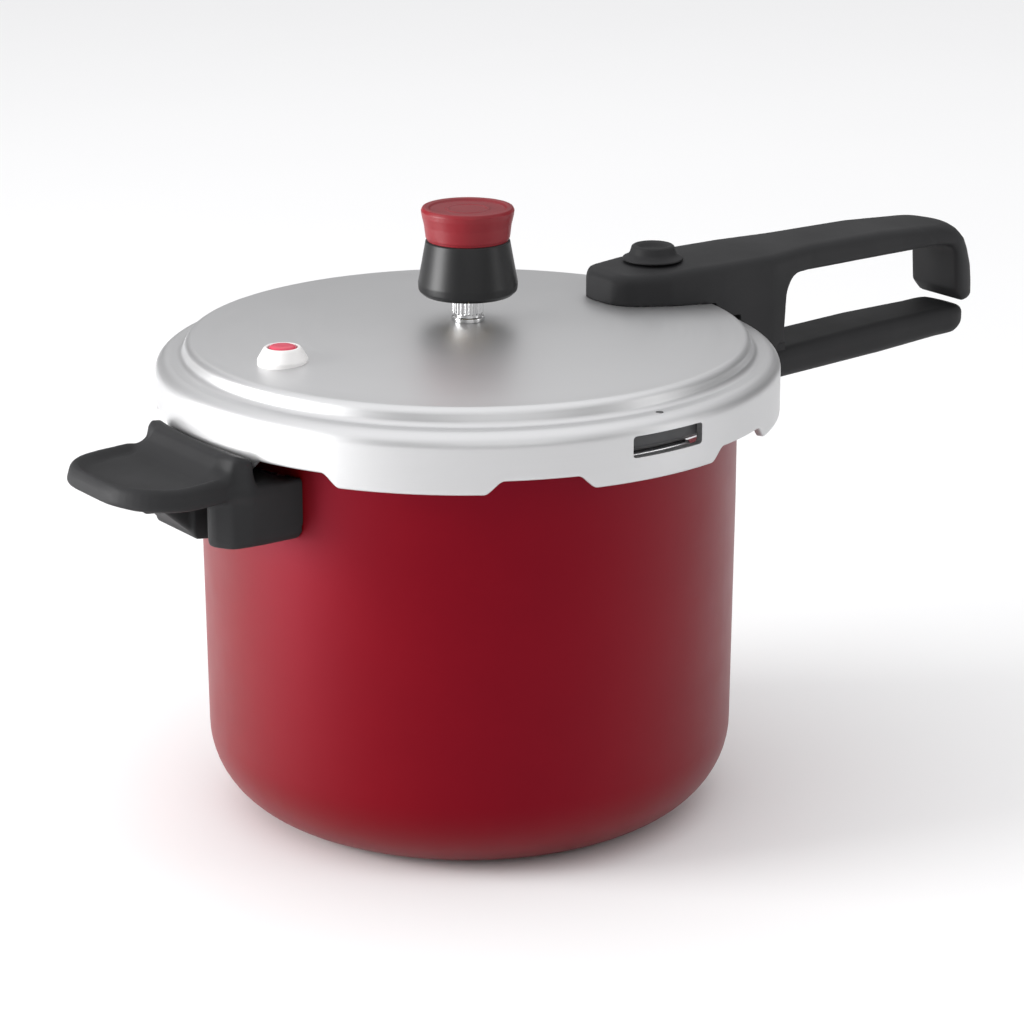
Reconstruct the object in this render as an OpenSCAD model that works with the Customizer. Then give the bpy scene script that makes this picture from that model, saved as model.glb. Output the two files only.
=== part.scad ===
// Stovetop pressure cooker with an outer bayonet lid.
// Frame: origin at the centre of the pot's flat base, +Z up, +X along the long handles,
// helper handle at -X. Millimetres. The lid is modelled closed, with its lock slide open.

/* [Pot] */
// Outer radius of the pot's wall at the rim
pot_r = 103; // [102.5:0.1:103.5]
// Thickness of the pot's wall
pot_wall = 3; // [2.5:0.1:3.5]
// Thickness of the pot's flat base
base_t = 5; // [3:0.5:8]
// Outer radius of the rounded corner between wall and base
corner_r = 32; // [20:1:40]
// Outer radius of the rolled rim
rim_r = 105.5; // [105:0.1:105.8]
// Outer radius of the bayonet lugs on the rim
lug_r = 113.5; // [112:0.1:114]
// Angle that one rim lug covers
lug_angle = 20; // [16:0.5:20]

/* [Lid] */
// Outer radius of the lid's skirt
lid_r = 119; // [118.8:0.1:119.2]
// Thickness of the lid's sheet
lid_t = 3; // [2.6:0.1:3]
// Inner radius of the bayonet tabs on the skirt
tab_r = 106.5; // [106:0.1:107]
// Angle that one skirt tab covers
tab_angle = 21; // [18:0.5:21]
// Angle of the skirt's pressure window, from +X towards +Y
window_at = 272; // [265:1:275]
// Width of the skirt's pressure window
window_w = 32; // [24:1:36]
// Height of the skirt's pressure window
window_h = 8; // [6:0.5:8.5]

/* [Gasket] */
// Outer radius of the sealing ring
gasket_r = 115.6; // [115.2:0.1:115.7]
// Inner radius of the sealing ring's lips
gasket_in_r = 100.8; // [100.4:0.1:101.5]

/* [Weight and valve] */
// Largest radius of the regulator weight's body
weight_r = 19; // [17:0.1:20]
// Radius of the vent pipe
pipe_r = 4; // [3.5:0.1:4.2]
// Distance of the pressure indicator from the lid's centre
valve_at_r = 84; // [80:1:86]
// Angle of the pressure indicator, from +X towards +Y
valve_at_a = 181; // [175:1:185]
// Radius of the indicator's float pin
pin_r = 2.5; // [2:0.1:3]

/* [Handles] */
// Outer end of the lid's handle
grip_end_x = 256; // [254:1:258]
// Height of the top of the lid's handle
grip_top_z = 201; // [200.5:0.5:201.5]
// Travel of the lock slide
lock_travel = 6; // [5:0.5:6]

/* [Hidden] */
$fn = 96;
eps = 0.01;

red = "#8e1628";
charcoal = "#2c2c2e";
steel = "#b9bbbd";
alu = "#c9cbcd";

// heights of the bayonet and the lid
rim_top = 165;
rim_bottom = 162;
lug_count = 8;
pitch = 360 / lug_count;
skirt_bottom = 156.3;
gap_bottom = 161.2;
gap_angle = 8.6;
tab_bottom = 157.6;
tab_top = 161.3;
annulus_z = 178.5;
channel_z = annulus_z - lid_t;
disc_z = 189.7;
disc_r = 107.6;
disc_drop = 5.1;
step_r = 73;
step_t = 0.8;
wall_straight_z = 120;
foot_r = 102.2;

// handle brackets, rivets and screws
rivet_r = 2.5;
rivet_head_r = 5;
plate_t = 2;
screw_r = 2.1;
screw_head_r = 4;
pot_screw_x = 135;
helper_screw_x = -141;

// pot handle
root_x = pot_r + 22;
handle_half = 14;
tongue_z = 149;
trough_z = 152;
tongue_half = 9;
tongue_end = 142;
trough_in = 125.5;
trough_out = 131.8;
tooth_half = 4;

// lid handle
nose_x = 61;
trunk_in = 121.4;
trunk_out = 143.5;
trunk_half = 20;
trunk_bottom = 160;
grip_under = 190;
post_in = 239.5;
post_bottom = 166;
lid_tongue_z = 185.8;
arm_screw_y = 11.5;
arm_screw_x = 132;
under_t = 3;
under_screw = [139.6, 16];
under_screw_r = 1.5;
under_head_r = 2.6;

// lock slide
button_x = 89;
button_r = 12;
neck_r = 4;
bar_z = 191;
bar_t = 1.6;
bar_half = 6;
leg_x = 127.2;
leg_t = 2.4;

valve_x = valve_at_r * cos(valve_at_a);
valve_y = valve_at_r * sin(valve_at_a);

// ---- shared shapes ----

function arc(cx, cy, r, a0, a1, n = 12) =
    [for (i = [0:n]) [cx + r * cos(a0 + (a1 - a0) * i / n), cy + r * sin(a0 + (a1 - a0) * i / n)]];

function mirrored_x(half) =
    concat(half, [for (i = [len(half) - 1:-1:0]) [-half[i][0], half[i][1]]]);

function mirrored(half) =
    concat(half, [for (i = [len(half) - 1:-1:0]) [half[i][0], -half[i][1]]]);

// height of the lid's domed top at radius r
function dome(r) = disc_z - disc_drop * pow(r / disc_r, 2);

// ring sector, centred on angle "at"
module sector(r0, r1, z0, z1, at, span) {
    rotate([0, 0, at - span / 2])
        rotate_extrude(angle = span, $fn = 180)
            polygon([[r0, z0], [r1, z0], [r1, z1], [r0, z1]]);
}

module ring(r0, r1, z0, z1) {
    rotate_extrude($fn = 180)
        polygon([[r0, z0], [r1, z0], [r1, z1], [r0, z1]]);
}

// side profile in XZ, extruded over Y from -half to +half
module side_slab(points, half) {
    translate([0, half, 0])
        rotate([90, 0, 0])
            linear_extrude(2 * half)
                polygon(points);
}

module block(x, y, z) {
    translate([x[0], y[0], z[0]])
        cube([x[1] - x[0], y[1] - y[0], z[1] - z[0]]);
}

module rod(x, y, z0, z1, r) {
    translate([x, y, z0])
        cylinder(h = z1 - z0, r = r, $fn = 48);
}

module round_rect(w, h, r) {
    square([w - 2 * r, h], center = true);
    square([w, h - 2 * r], center = true);
    for (sx = [-1, 1])
        for (sy = [-1, 1])
            translate([sx * (w / 2 - r), sy * (h / 2 - r)])
                circle(r = r, $fn = 24);
}

// rivet through the pot's wall and a bracket plate, along the wall's radius
module wall_rivet(at, z) {
    r_in = pot_r - pot_wall;
    r_out = pot_r + plate_t;
    rotate([0, 0, at])
        translate([0, 0, z])
            rotate([0, 90, 0])
                translate([0, 0, r_in - 1])
                    cylinder(h = r_out - r_in + 2, r = rivet_r, $fn = 48);
    difference() {
        rotate([0, 0, at])
            translate([0, 0, z])
                rotate([0, 90, 0])
                    translate([0, 0, r_in - 1.4])
                        cylinder(h = r_out - r_in + 2.8, r = rivet_head_r, $fn = 48);
        ring(r_in, r_out, z - 10, z + 10);
    }
}

module wall_rivet_hole(at, z) {
    rotate([0, 0, at])
        translate([0, 0, z])
            rotate([0, 90, 0])
                translate([0, 0, pot_r - 10])
                    cylinder(h = 20, r = rivet_r, $fn = 48);
}

// screw standing on its head at z0, shank up to z1
module up_screw(x, y, z0, z1, shank, head, head_h) {
    difference() {
        union() {
            rod(x, y, z0, z0 + head_h, head);
            rod(x, y, z0 + head_h - eps, z1, shank);
        }
        block([x - head, x + head], [y - 0.5, y + 0.5], [z0 - 1, z0 + 1]);
    }
}

// ---- pot ----

pot_rivet_z = 133;
pot_rivet_a = 5;
helper_rivet_z = 143;
helper_rivet_a = 170;
ridge_z = 163.6;
helper_tongue_z = 150;
helper_tongue_end = -148;
helper_tongue_half = 10;

module pot_body() {
    in_r = pot_r - pot_wall;
    color(red)
        difference() {
            union() {
                rotate_extrude($fn = 180)
                    polygon(concat(
                        [[0, 0]],
                        arc(foot_r - corner_r, corner_r, corner_r, -90, 0),
                        [
                            [pot_r, wall_straight_z], [pot_r, rim_bottom - 1.5], [rim_r, rim_bottom],
                            [rim_r, rim_top - 0.8], [rim_r - 0.8, rim_top], [in_r + 0.8, rim_top],
                            [in_r, rim_top - 0.8], [in_r, wall_straight_z]
                        ],
                        arc(foot_r - corner_r, corner_r + base_t - pot_wall, corner_r - pot_wall, 0, -90),
                        [[0, base_t]]
                    ));
                for (i = [0:lug_count - 1])
                    sector(rim_r - 1, lug_r, rim_bottom, rim_top, i * pitch, lug_angle);
            }
            for (s = [-1, 1]) {
                wall_rivet_hole(s * pot_rivet_a, pot_rivet_z);
                wall_rivet_hole(180 + s * (180 - helper_rivet_a), helper_rivet_z);
            }
        }
}

module pot_handle_bracket() {
    color(steel)
        difference() {
            union() {
                sector(pot_r, pot_r + plate_t, 124, tongue_z + plate_t, 0, 18);
                intersection() {
                    block([pot_r - 2, tongue_end], [-tongue_half, tongue_half], [tongue_z, tongue_z + plate_t]);
                    ring(pot_r, 160, tongue_z, tongue_z + plate_t);
                }
            }
            for (s = [-1, 1])
                wall_rivet_hole(s * pot_rivet_a, pot_rivet_z);
            rod(pot_screw_x, 0, tongue_z - 1, tongue_z + plate_t + 1, screw_r);
        }
}

module pot_handle_rivets() {
    color(alu)
        for (s = [-1, 1])
            wall_rivet(s * pot_rivet_a, pot_rivet_z);
}

// arc-shaped trough that the lock's tooth sweeps as the lid turns, and the notch it locks into
module tooth_path() {
    ring(trough_in, trough_out, trough_z, rim_top);
    block([trough_out - 1.5, leg_x + leg_t + lock_travel + 0.6], [-tooth_half - 0.3, tooth_half + 0.3],
        [trough_z, rim_top]);
}

module pot_handle() {
    tip_x = 252;
    color(charcoal)
        difference() {
            intersection() {
                side_slab([
                    [pot_r - 7, 121], [pot_r + 6, 120], [root_x - 9, 137], [root_x + 3, 145],
                    [root_x + 20, 147], [200, 149], [tip_x - 9, 151.3], [tip_x - 2.5, 153.5], [tip_x, 156.5],
                    [tip_x - 1.5, 160], [tip_x - 8, 162], [200, 160.3], [169, 158.2], [root_x + 20, 157],
                    [trunk_in + 3, 157], [trunk_in, 154.8], [pot_r - 7, 154.8]
                ], 40);
                translate([0, 0, 100])
                    linear_extrude(80)
                        polygon(mirrored(concat(
                            [[pot_r - 7, 21], [pot_r + 8, 20], [root_x, 16.5], [root_x + 20, 15], [200, handle_half]],
                            arc(tip_x - 13, 0, 13, 86, 0, 10)
                        )));
            }
            translate([0, 0, 100])
                cylinder(h = 80, r = pot_r, $fn = 180);
            // seat for the bracket, its rivet heads and its tongue
            sector(pot_r - 2, pot_r + plate_t, 100, tongue_z + plate_t, 0, 18);
            sector(pot_r + plate_t - 0.5, pot_r + 4.5, 126, 140, 0, 17);
            block([pot_r - 5, tongue_end], [-tongue_half, tongue_half], [tongue_z, tongue_z + plate_t]);
            rod(pot_screw_x, 0, 120, tongue_z + eps, screw_r);
            rod(pot_screw_x, 0, 120, 147, screw_head_r);
            tooth_path();
        }
}

module pot_handle_screws() {
    color(steel)
        up_screw(pot_screw_x, 0, 145, tongue_z + plate_t, screw_r, screw_head_r, 2);
}

// ---- helper handle, on the -X side ----

module helper_bracket() {
    color(steel)
        difference() {
            union() {
                sector(pot_r, pot_r + plate_t, 136, 152, 180, 30);
                intersection() {
                    block([helper_tongue_end, -pot_r + 2], [-helper_tongue_half, helper_tongue_half],
                        [helper_tongue_z, helper_tongue_z + plate_t]);
                    ring(pot_r, 160, helper_tongue_z, helper_tongue_z + plate_t);
                }
            }
            for (s = [-1, 1])
                wall_rivet_hole(180 + s * (180 - helper_rivet_a), helper_rivet_z);
            rod(helper_screw_x, 0, 140, 160, screw_r);
        }
}

module helper_rivets() {
    color(alu)
        for (s = [-1, 1])
            wall_rivet(180 + s * (180 - helper_rivet_a), helper_rivet_z);
}

module helper_handle() {
    end_x = -167;
    pad_low = 128;
    pad_top = 152.6;
    color(charcoal)
        difference() {
            union() {
                // pad that lies against the pot's wall
                intersection() {
                    side_slab([
                        [-90, pad_low], [-112, pad_low], [-129, pad_low + 2], [-131, pad_low + 4],
                        [-131, pad_top], [-90, pad_top]
                    ], 35);
                    translate([-90, 0, 0])
                        rotate([90, 0, -90])
                            linear_extrude(60)
                                polygon(mirrored_x(concat(
                                    [[35, pad_top]],
                                    arc(26, pad_low + 9, 9, 0, -90, 6)
                                )));
                    translate([0, 0, 100])
                        linear_extrude(80)
                            polygon(mirrored([[-80, 35], [-118, 35], [-124, 32.5], [-131, 25]]));
                }
                // paddle grip with a raised edge beside the lid and a shallow thumb tray
                intersection() {
                    side_slab([
                        [-110, 147.5], [-110, 160], [-119, 162.5], [-122, ridge_z], [-124.5, ridge_z - 0.6],
                        [-127.5, 159.5], [-131, 157], [-136, 155.6], [-147, 154.8], [-158, 155.3],
                        [end_x + 4, 155.6], [end_x + 1, 154.4], [end_x, 152.5], [end_x + 1.5, 150],
                        [end_x + 6, 148.6], [-145, 147.5]
                    ], 45);
                    translate([0, 0, 140])
                        linear_extrude(30)
                            polygon(mirrored(concat(
                                [[-95, 32], [-110, 34]],
                                arc(-119, 30.5, 5, 90, 160, 5),
                                [[-126, 32.4], [-133, 33.4], [-141, 33.6]],
                                arc(-141, 7.6, 26, 90, 180, 10)
                            )));
                }
                // gusset between pad and grip
                side_slab([[-116, 131], [-127, 130.5], [-130, 131], [-150, 148.5], [-116, 150]], 13);
            }
            translate([0, 0, 100])
                cylinder(h = 80, r = pot_r, $fn = 180);
            // room for the lid's skirt above the pad
            translate([0, 0, pad_top])
                cylinder(h = 20, r = lid_r + 2.5, $fn = 180);
            sector(pot_r - 2, pot_r + plate_t, 136, 152, 180, 30);
            sector(pot_r, pot_r + 4, helper_rivet_z - 6, helper_rivet_z + 6, helper_rivet_a, 7);
            sector(pot_r, pot_r + 4, helper_rivet_z - 6, helper_rivet_z + 6, -helper_rivet_a, 7);
            block([helper_tongue_end, 5 - pot_r], [-helper_tongue_half, helper_tongue_half],
                [helper_tongue_z, helper_tongue_z + plate_t]);
            rod(helper_screw_x, 0, 120, helper_tongue_z + eps, screw_r);
            rod(helper_screw_x, 0, 120, 147, screw_head_r);
            // moulded pockets either side of the gusset
            for (s = [-1, 1])
                block([-140, -118], [s * 18.5 - 4.5, s * 18.5 + 4.5], [120, 147.5]);
        }
}

module helper_screws() {
    color(steel)
        up_screw(helper_screw_x, 0, 145, 152, screw_r, screw_head_r, 2);
}

// ---- sealing ring ----

module gasket() {
    low = rim_top + 0.3;
    high = channel_z - 0.3;
    mid = (low + high) / 2;
    color("#3a3b3d")
        difference() {
            rotate_extrude($fn = 180)
                polygon([
                    [gasket_in_r, low + 0.5], [gasket_in_r + 1, low], [gasket_r - 4, low], [gasket_r, mid - 2.2],
                    [gasket_r, mid + 2.2], [gasket_r - 4, high], [gasket_in_r + 1, high],
                    [gasket_in_r, high - 0.5], [gasket_in_r, high - 1.8],
                    [gasket_r - 6.5, mid + 1.7], [gasket_r - 5.5, mid], [gasket_r - 6.5, mid - 1.7],
                    [gasket_in_r, low + 1.8]
                ]);
            // locating notches in the outer edge
            for (i = [0:3])
                rotate([0, 0, 45 + 90 * i])
                    translate([gasket_r + 0.5, 0, low - 1])
                        rotate([0, 0, 45])
                            cube([3.4, 3.4, 30], center = true);
        }
}

// ---- lid ----

module lid_profile() {
    edge_z = dome(disc_r - 3);
    polygon(concat(
        [for (i = [0:8]) [(disc_r - 3) * i / 8, dome((disc_r - 3) * i / 8)]],
        arc(disc_r - 3, edge_z - 3.4, 3.4, 84, 8, 8),
        arc(disc_r + 3.6, annulus_z + 2.8, 2.8, 186, 270, 6),
        arc(lid_r - 5.5, annulus_z - 5.5, 5.5, 90, 0, 10),
        [[lid_r, skirt_bottom], [lid_r - lid_t, skirt_bottom]],
        arc(lid_r - 5.5, annulus_z - 5.5, 5.5 - lid_t, 0, 90, 8),
        [[disc_r + 1.5, channel_z], [disc_r - 2.4, channel_z + 2.2], [disc_r - 4.5, edge_z - 4.2]],
        [for (i = [3:-1:0]) [step_r + 6 * i, dome(step_r + 6 * i) - lid_t - step_t]],
        [for (i = [6:-1:0]) [(step_r - step_t) * i / 6, dome((step_r - step_t) * i / 6) - lid_t]]
    ));
}

// solid that fills the lid's outside, used to fit pieces onto its surface
module lid_fill() {
    edge_z = dome(disc_r - 3);
    rotate_extrude($fn = 180)
        polygon(concat(
            [[0, 150]],
            [for (i = [0:8]) [(disc_r - 3) * i / 8, dome((disc_r - 3) * i / 8)]],
            arc(disc_r - 3, edge_z - 3.4, 3.4, 84, 8, 8),
            arc(disc_r + 3.6, annulus_z + 2.8, 2.8, 186, 270, 6),
            arc(lid_r - 5.5, annulus_z - 5.5, 5.5, 90, 0, 10),
            [[lid_r, 150]]
        ));
}

lid_rivet_x = [76, 100];
valve_hole_r = 7;

module lid_shell() {
    gap_half = lid_r * tan(gap_angle);
    slope = 3.5;
    color(alu)
        difference() {
            union() {
                rotate_extrude($fn = 180)
                    lid_profile();
                for (i = [0:lug_count - 1])
                    sector(tab_r, lid_r - lid_t + 1, tab_bottom, tab_top, i * pitch, tab_angle);
            }
            // shallow gaps between the skirt's deep sections
            for (i = [0:lug_count - 1])
                rotate([0, 0, (i + 0.5) * pitch])
                    translate([lid_r - 12, 0, skirt_bottom])
                        rotate([90, 0, 90])
                            linear_extrude(20)
                                polygon([
                                    [-gap_half - 1, -1], [gap_half + 1, -1], [gap_half + 1, 0],
                                    [gap_half - slope, gap_bottom - skirt_bottom],
                                    [slope - gap_half, gap_bottom - skirt_bottom], [-gap_half - 1, 0]
                                ]);
            // pressure window and the small hole above it
            rotate([0, 0, window_at])
                translate([lid_r - 8, 0, 169.2])
                    rotate([90, 0, 90])
                        linear_extrude(20)
                            round_rect(window_w, window_h, 1.5);
            rotate([0, 0, window_at])
                translate([113, 0, 170])
                    cylinder(h = 20, r = 1.5, $fn = 32);
            rod(0, 0, 170, 200, pipe_r);
            rod(valve_x, valve_y, 170, 200, valve_hole_r);
            for (x = lid_rivet_x)
                rod(x, 0, 170, 200, rivet_r);
        }
}

module lid_bracket() {
    top = lid_tongue_z + plate_t;
    color(steel)
        difference() {
            union() {
                block([70, 112], [-12, 12], [180, top]);
                block([100, 141], [-15, 15], [lid_tongue_z, top]);
            }
            lid_fill();
            block([124, 142], [-6.6, 6.6], [180, 190]);
            for (x = lid_rivet_x)
                rod(x, 0, 170, 200, rivet_r);
            for (s = [-1, 1])
                rod(arm_screw_x, s * arm_screw_y, 170, 200, screw_r);
        }
}

module lid_rivets() {
    top = lid_tongue_z + plate_t;
    color(alu)
        for (x = lid_rivet_x) {
            rod(x, 0, dome(x) - lid_t - step_t - 1.2, max(top, dome(x)) + 1, rivet_r);
            difference() {
                rod(x, 0, dome(x) - lid_t - step_t - 1.2, dome(x) - lid_t / 2, rivet_head_r);
                rotate_extrude($fn = 180)
                    lid_profile();
            }
            rod(x, 0, max(top, dome(x)), max(top, dome(x)) + 1.6, rivet_head_r);
        }
}

// outer form of the lid's handle: side profile crossed with plan profile
module lid_handle_form() {
    edge = grip_top_z - 3.5;
    intersection() {
        side_slab(concat(
            [[nose_x, 170], [nose_x, 192], [nose_x + 0.6, 195.5], [nose_x + 2.2, 198]],
            [[nose_x + 5, 199.6], [72, grip_top_z - 0.6], [96, grip_top_z], [200, grip_top_z]],
            [[220, grip_top_z - 0.6], [232, grip_top_z - 1.4], [238, grip_top_z - 2.4]],
            arc(grip_end_x - 21, grip_top_z - 21, 19, 72, 14, 7),
            [[grip_end_x, post_bottom + 3], [grip_end_x - 1.5, post_bottom], [post_in + 5, post_bottom]],
            [[post_in + 1, post_bottom + 5], [post_in, grip_under - 4], [post_in - 4, grip_under]],
            arc(trunk_out + 9, grip_under - 9, 9, 90, 180, 8),
            [[trunk_out - 1.5, trunk_bottom], [trunk_in, trunk_bottom], [trunk_in, 170]]
        ), 30);
        // stacked plan layers: [lowest z, highest z, inset of the sides, set-back of the rounded end]
        union()
            for (layer = [
                [150, 178, 0, 0], [178, 185, 0, 2.5], [185, 192, 0, 6],
                [192, edge, 0, 10], [edge, edge + 1.8, 1, 13], [edge + 1.8, edge + 8, 3, 17]
            ])
                translate([0, 0, layer[0] - eps])
                    linear_extrude(layer[1] - layer[0] + eps)
                        lid_handle_plan(layer[2], layer[3]);
    }
}

module lid_handle_plan(inset, set_back) {
    end_r = 15;
    polygon(mirrored(concat(
        [
            [nose_x, 8 - inset * 0.5], [nose_x + 3, 11.5 - inset * 0.6], [nose_x + 9, 15.2 - inset * 0.8],
            [80, 19 - inset], [110, trunk_half - inset], [trunk_out - 2, trunk_half - inset],
            [trunk_out + 8, 16.5 - inset], [200, 15.5 - inset]
        ],
        arc(grip_end_x - end_r - set_back, 0, end_r - inset, 90, 0, 10)
    )));
}

module lid_handle() {
    top = lid_tongue_z + plate_t;
    color(charcoal)
        difference() {
            lid_handle_form();
            lid_fill();
            // the wall over the skirt stands clear of it
            ring(lid_r - 2, lid_r + 0.4, 150, annulus_z - 5);
            // seat for the bracket and its rivet heads
            block([69.6, 112], [-12.2, 12.2], [170, top]);
            block([100, 141], [-15, 15], [lid_tongue_z, top]);
            block([108, trunk_in], [-15, 15], [170, lid_tongue_z + eps]);
            for (x = lid_rivet_x)
                rod(x, 0, top - eps, top + 2, rivet_head_r + 0.4);
            // channel for the lock bar, its leg and the button's neck
            block([83, 139], [-8.4, 11.2], [top - eps, bar_z + bar_t + 0.4]);
            block([leg_x - 1.2, leg_x + leg_t + lock_travel + 1.2], [-6.6, 6.6], [150, bar_z + bar_t + 0.4]);
            block([button_x, button_x + lock_travel], [-neck_r - 0.3, neck_r + 0.3], [bar_z, 210]);
            rod(button_x, 0, bar_z, 210, neck_r + 0.3);
            rod(button_x + lock_travel, 0, bar_z, 210, neck_r + 0.3);
            // seat of the plate under the trunk
            lid_underplate_form();
            for (s = [-1, 1]) {
                rod(arm_screw_x, s * arm_screw_y, 150, 196, screw_r);
                rod(arm_screw_x, s * arm_screw_y, 150, 177, screw_head_r + 0.2);
                rod(under_screw[0], s * under_screw[1], 150, 171, under_screw_r);
            }
            // hollow underside of the grip
            block([155, 230], [-10, 10], [grip_under - 1, grip_under + 5]);
        }
}

module lid_underplate_form() {
    block([trunk_in + 1.2, trunk_out - 1], [-trunk_half + 1.2, trunk_half - 1.2],
        [trunk_bottom - 1, trunk_bottom + under_t]);
}

module lid_underplate() {
    color(charcoal)
        difference() {
            intersection() {
                lid_underplate_form();
                block([100, 160], [-30, 30], [trunk_bottom, trunk_bottom + under_t]);
            }
            ring(lid_r - 5, lid_r + 0.4, 150, 170);
            block([leg_x - 1.2, leg_x + leg_t + lock_travel + 1.2], [-6.6, 6.6], [150, 170]);
            for (s = [-1, 1]) {
                rod(arm_screw_x, s * arm_screw_y, 150, 170, screw_head_r + 0.2);
                rod(under_screw[0], s * under_screw[1], 150, 170, under_screw_r);
                rod(under_screw[0], s * under_screw[1], 150, trunk_bottom + 1.4, under_head_r);
            }
        }
}

module lid_handle_screws() {
    color(steel)
        for (s = [-1, 1])
            up_screw(arm_screw_x, s * arm_screw_y, 175, 196, screw_r, screw_head_r, 2);
}

module underplate_screws() {
    color(steel)
        for (s = [-1, 1])
            up_screw(under_screw[0], s * under_screw[1], trunk_bottom + 0.2, 171, under_screw_r, under_head_r, 1.2);
}

// leaf spring beside the lock bar, its bow set in the handle's channel
module detent_spring() {
    bow_r = 26;
    color(steel)
        translate([107, 10.9 - bow_r - 0.2, 0])
            intersection() {
                rotate([0, 0, 90])
                    sector(bow_r - 0.6, bow_r, bar_z - 2.6, bar_z + bar_t, 0, 40);
                block([-40, 40], [0, 60], [bar_z - 2.6, bar_z + bar_t]);
            }
}

// ---- vent and its nuts ----

module vent_pipe() {
    color("#c8a24c")
        difference() {
            union() {
                rod(0, 0, 180, 210, pipe_r);
                translate([0, 0, 210 - eps])
                    cylinder(h = 4, r1 = pipe_r, r2 = 1.8, $fn = 48);
            }
            rod(0, 0, 179, 215, 1);
        }
}

module vent_collar_nut() {
    ribs = 24;
    color(steel)
        difference() {
            union() {
                rod(0, 0, disc_z, disc_z + 1.4, 7.4);
                rod(0, 0, disc_z + 1, disc_z + 9.3, 5.4);
                for (i = [0:ribs - 1])
                    rotate([0, 0, 360 / ribs * i])
                        translate([5.4, 0, disc_z + 2.4])
                            rotate([0, 0, 45])
                                translate([-0.4, -0.4, 0])
                                    cube([0.8, 0.8, 6]);
            }
            rod(0, 0, disc_z - 1, disc_z + 11, pipe_r);
            // the nut's foot follows the domed lid
            lid_fill();
        }
}

module vent_washer() {
    color(charcoal)
        difference() {
            rod(0, 0, disc_z - lid_t - 1.5, disc_z - lid_t + 0.2, 8.5);
            rotate_extrude($fn = 180)
                lid_profile();
            rod(0, 0, 180, 190, pipe_r);
        }
}

module vent_hex_nut() {
    top = disc_z - lid_t - 1.5;
    color(steel)
        difference() {
            translate([0, 0, top - 4.5])
                cylinder(h = 4.5, r = 7.5, $fn = 6);
            rod(0, 0, 175, 190, pipe_r);
        }
}

// ---- pressure indicator ----

grommet_low = dome(valve_at_r) - lid_t - step_t - 2.2;
grommet_high = dome(valve_at_r) + 1.2;

module valve_grommet() {
    color("#1c1c1e")
        difference() {
            union() {
                rod(valve_x, valve_y, grommet_low, dome(valve_at_r) - lid_t - step_t + 0.3, 9.5);
                rod(valve_x, valve_y, grommet_low, dome(valve_at_r) - 0.8, valve_hole_r);
                rod(valve_x, valve_y, dome(valve_at_r) - 1, grommet_high, 6.4);
            }
            difference() {
                rotate_extrude($fn = 180)
                    lid_profile();
                rod(valve_x, valve_y, 170, 200, valve_hole_r);
            }
            rod(valve_x, valve_y, 170, 200, pin_r + 0.08);
        }
}

module valve_collar() {
    z = dome(valve_at_r);
    color("white")
        difference() {
            translate([valve_x, valve_y, 0])
                rotate_extrude($fn = 64)
                    polygon(concat(
                        [[6.4, z - 1], [9.4, z - 1], [9.4, z + 1]],
                        arc(7.8, z + 1.6, 1.6, -10, 60, 4),
                        [[7.2, z + 5.2], [6.6, z + 5.8], [5.6, z + 5.8], [5.6, z + 1.2], [6.4, z + 1.2]]
                    ));
            lid_fill();
        }
}

module float_pin() {
    color("#c8a24c") {
        rod(valve_x, valve_y, grommet_low - 6, grommet_high + 0.4, pin_r);
        rod(valve_x, valve_y, grommet_low - 6.4, grommet_low - 4.6, 4.6);
    }
}

module float_button() {
    color("#c8283c")
        translate([valve_x, valve_y, 0])
            rotate_extrude($fn = 64)
                polygon(concat(
                    [[0, grommet_high + 0.4], [5.2, grommet_high + 0.4]],
                    arc(4, grommet_high + 3.6, 1.2, 0, 90, 5),
                    [[0, grommet_high + 5.1]]
                ));
}

module float_clip() {
    color(steel)
        difference() {
            rod(valve_x, valve_y, grommet_low - 7.2, grommet_low - 6.4, 3.6);
            rod(valve_x, valve_y, grommet_low - 8, grommet_low - 6, 1);
        }
}

// ---- lock slide ----

module lock_button() {
    top = grip_top_z + 6.2;
    low = grip_top_z + 0.35;
    color(charcoal) {
        translate([button_x, 0, 0])
            rotate_extrude($fn = 72)
                polygon(concat(
                    [[0, low], [button_r, low], [button_r, low + 0.7], [button_r - 2.2, low + 2.4]],
                    arc(button_r - 4.6, top - 1.2, 1.2, 20, 100, 5),
                    [[5.2, top - 1], [2.6, top - 2], [0, top - 2.2]]
                ));
        difference() {
            rod(button_x, 0, bar_z + bar_t, low + eps, neck_r);
            rod(button_x, 0, bar_z, bar_z + 6, 1.5);
        }
    }
}

module lock_bar() {
    color(steel)
        difference() {
            union() {
                block([85, leg_x + leg_t], [-bar_half, bar_half], [bar_z, bar_z + bar_t]);
                block([leg_x, leg_x + leg_t], [-bar_half, bar_half], [trunk_bottom + 3.4, bar_z + eps]);
                block([leg_x, leg_x + leg_t], [-tooth_half, tooth_half], [trough_z + 1, trunk_bottom + 4]);
            }
            rod(button_x, 0, bar_z - 1, bar_z + bar_t + 1, 1.5);
            // notches that the leaf spring clicks into
            for (i = [0, 1])
                rod(107 - i * lock_travel, bar_half + 0.6, bar_z - 1, bar_z + bar_t + 1, 1.2);
        }
}

module lock_button_screw() {
    color(steel)
        up_screw(button_x, 0, bar_z - 1.2, bar_z + 5.5, 1.5, 2.8, 1.2);
}

// ---- regulator weight ----

weight_low = 200;
weight_neck = 221;
weight_top = 234;

module weight_shell() {
    color("#1d1d1f")
        rotate_extrude($fn = 96)
            polygon(concat(
                [[pipe_r + 5, weight_low + 1.5], [weight_r - 5, weight_low + 0.6]],
                arc(weight_r - 3, weight_low + 3, 3, -90, 15, 8),
                [[weight_r - 1.2, weight_low + 11], [16, weight_neck], [pipe_r + 5, weight_neck]]
            ));
}

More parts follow.
